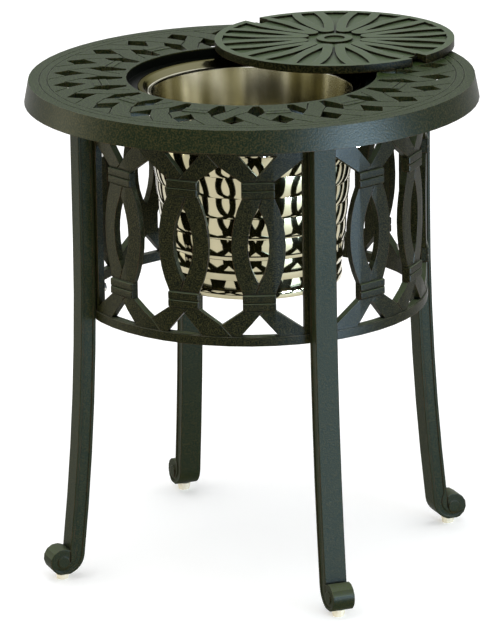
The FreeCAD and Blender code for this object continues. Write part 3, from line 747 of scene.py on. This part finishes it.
def steel(name, light, dark, roughness, streaks, flange=None):
    made, tree, shader = new_finish(name)
    shader.inputs["Metallic"].default_value = 1.0
    where = node(tree, "ShaderNodeTexCoord")
    stretch = node(tree, "ShaderNodeMapping", Scale=FLATTEN)
    link(tree, where.outputs["Object"], stretch.inputs["Vector"])
    swell = node(tree, "ShaderNodeTexNoise", Scale=streaks, Detail=1.0)
    link(tree, stretch.outputs["Vector"], swell.inputs["Vector"])
    streak = ramp(tree, swell.outputs["Fac"], 0.35, 0.65)
    surface = node(tree, "ShaderNodeNewGeometry")
    upward = ramp(tree, parts_of(tree, surface.outputs["True Normal"])["Z"], 0.6, 0.9)
    metal = paint(tree, dark, light, combine(tree, "MAXIMUM", streak, upward))
    # The flange's darker colour is painted shade inside the well.
    if flange:
        height = parts_of(tree, where.outputs["Object"])["Z"]
        high = ramp(tree, height, FLANGE_BELOW, FLANGE_ABOVE)
        metal = paint(tree, metal, flange, high)
        link(tree, paint(tree, (1, 1, 1), FLANGE_TINT, high), shader.inputs["Specular Tint"])
    link(tree, metal, shader.inputs["Base Color"])
    rough = node(tree, "ShaderNodeMapRange")
    rough.inputs["To Min"].default_value = roughness * 0.7
    rough.inputs["To Max"].default_value = roughness * 1.3
    link(tree, swell.outputs["Fac"], rough.inputs["Value"])
    link(tree, rough.outputs["Result"], shader.inputs["Roughness"])
    return made


SHELL_STEEL = steel("shell_steel", light=(0.42, 0.38, 0.25), dark=(0.34, 0.31, 0.20),
                    roughness=0.05, streaks=30.0)
LINER_STEEL = steel("liner_steel", light=(0.86, 0.84, 0.72), dark=(0.25, 0.23, 0.12),
                    roughness=0.14, streaks=26.0, flange=(0.20, 0.19, 0.11))
BOLT_STEEL = steel("bolt_zinc", light=(0.70, 0.69, 0.64), dark=(0.55, 0.54, 0.50),
                   roughness=0.30, streaks=200.0)
print("steels:", SHELL_STEEL.name, LINER_STEEL.name, BOLT_STEEL.name)

# %% [markdown]
# The glides are cream plastic, a little mottled from moulding. The speckle group gives that
# with two close tones and a faint bump.

# %% Glide plastic
CREAM_TONE = (0.80, 0.72, 0.54)
CREAM_SHADE = (0.86, 0.82, 0.75)


def plastic(name, color, shade):
    made, tree, shader = new_finish(name)
    fleck = [tone * share for tone, share in zip(color, shade)]
    grain = place_group(tree, SPECKLE, Base=(*color, 1), Fleck=(*fleck, 1), Size=260.0, Amount=0.5)
    link(tree, grain.outputs["Color"], shader.inputs["Base Color"])
    shader.inputs["Roughness"].default_value = 0.55
    add_bump(tree, shader, grain.outputs["Height"], 0.2, 0.0002)
    return made


CREAM = plastic("glide_cream", CREAM_TONE, CREAM_SHADE)
print("plastic:", CREAM.name)

# %% [markdown]
# Each piece has one finish. A casting comes with the solid's own material, which is
# cleared before the new one goes on.

# %% Put the finishes on
FINISHES = (
    (TOP_BRONZE, ["table_top"]),
    (BRONZE, PANELS),
    (LEG_BRONZE, LEGS),
    (LID_BRONZE, ["lid"]),
    (CREAM, GLIDES),
    (BOLT_STEEL, FASTENERS),
    (SHELL_STEEL, ["bucket_shell", "bucket_base"]),
    (LINER_STEEL, ["bucket_liner"]),
)
for material, names in FINISHES:
    for name in names:
        pieces[name].data.materials.clear()
        pieces[name].data.materials.append(material)
    print(material.name, "on", len(names), "pieces")

# %% [markdown]
# The studio is a white floor under a white world. A backdrop could close it, but a wide
# floor that glows faintly meets the white world without a line, and it still keeps the
# table's shadow.

# %% Floor
bpy.ops.mesh.primitive_plane_add(size=30.0, location=(0, 0, 0))
floor = bpy.context.object
floor.name = "studio_floor"
floor_paint, tree, shader = new_finish("floor_paint")
shader.inputs["Base Color"].default_value = (1.0, 1.0, 1.0, 1)
shader.inputs["Roughness"].default_value = 0.9
shader.inputs["Emission Color"].default_value = (1.0, 1.0, 1.0, 1)
shader.inputs["Emission Strength"].default_value = 0.14
floor.data.materials.append(floor_paint)
print("floor is", round(floor.dimensions.x), "m wide")

# %% World
WORLD_STRENGTH = 1.05
world = bpy.data.worlds.new("studio_world")
bpy.context.scene.world = world
world.use_nodes = True
background = world.node_tree.nodes["Background"]
background.inputs["Color"].default_value = (1.0, 1.0, 1.0, 1)
background.inputs["Strength"].default_value = WORLD_STRENGTH
print("world strength", WORLD_STRENGTH)

# %% [markdown]
# Three soft lamps: a broad one overhead, and two low ones that only shine. The one in front
# puts a cool sheen on the skirt and the front leg, and the one behind puts a warm one on
# the left side. They sit below the rim, so that neither makes a hot spot in the bucket.


# %% Lamps
def soft_lamp(name, at, aim, size, power, color):
    bpy.ops.object.light_add(type="AREA", location=at)
    lamp = bpy.context.object
    lamp.name = name
    lamp.data.shape = "RECTANGLE"
    lamp.data.size, lamp.data.size_y = size
    lamp.data.energy = power
    lamp.data.color = color
    lamp.rotation_euler = (Vector(aim) - Vector(at)).to_track_quat("-Z", "Y").to_euler()
    return lamp


soft_lamp("overhead", at=(-0.4, -0.6, 2.6), aim=(0, 0, 0.5), size=(2.4, 2.4),
          power=14.0, color=(1.0, 0.98, 0.94))
sheen = soft_lamp("cool_sheen", at=(1.20, -2.32, 0.31), aim=(0.03, -0.27, 0.35),
                  size=(1.3, 0.58), power=760.0, color=(0.56, 0.80, 1.0))
glow = soft_lamp("warm_glow", at=(-2.1, 1.1, 0.31), aim=(-0.2, 0.05, 0.35),
                 size=(1.2, 0.58), power=42.0, color=(1.0, 0.96, 0.70))
sheen.visible_diffuse = glow.visible_diffuse = False
print("lamps that only shine:", sheen.name, glow.name)

# %% [markdown]
# Last, the view transform is set to Standard, so that a colour renders as it is written.

# %% View transform
bpy.context.scene.view_settings.view_transform = "Standard"
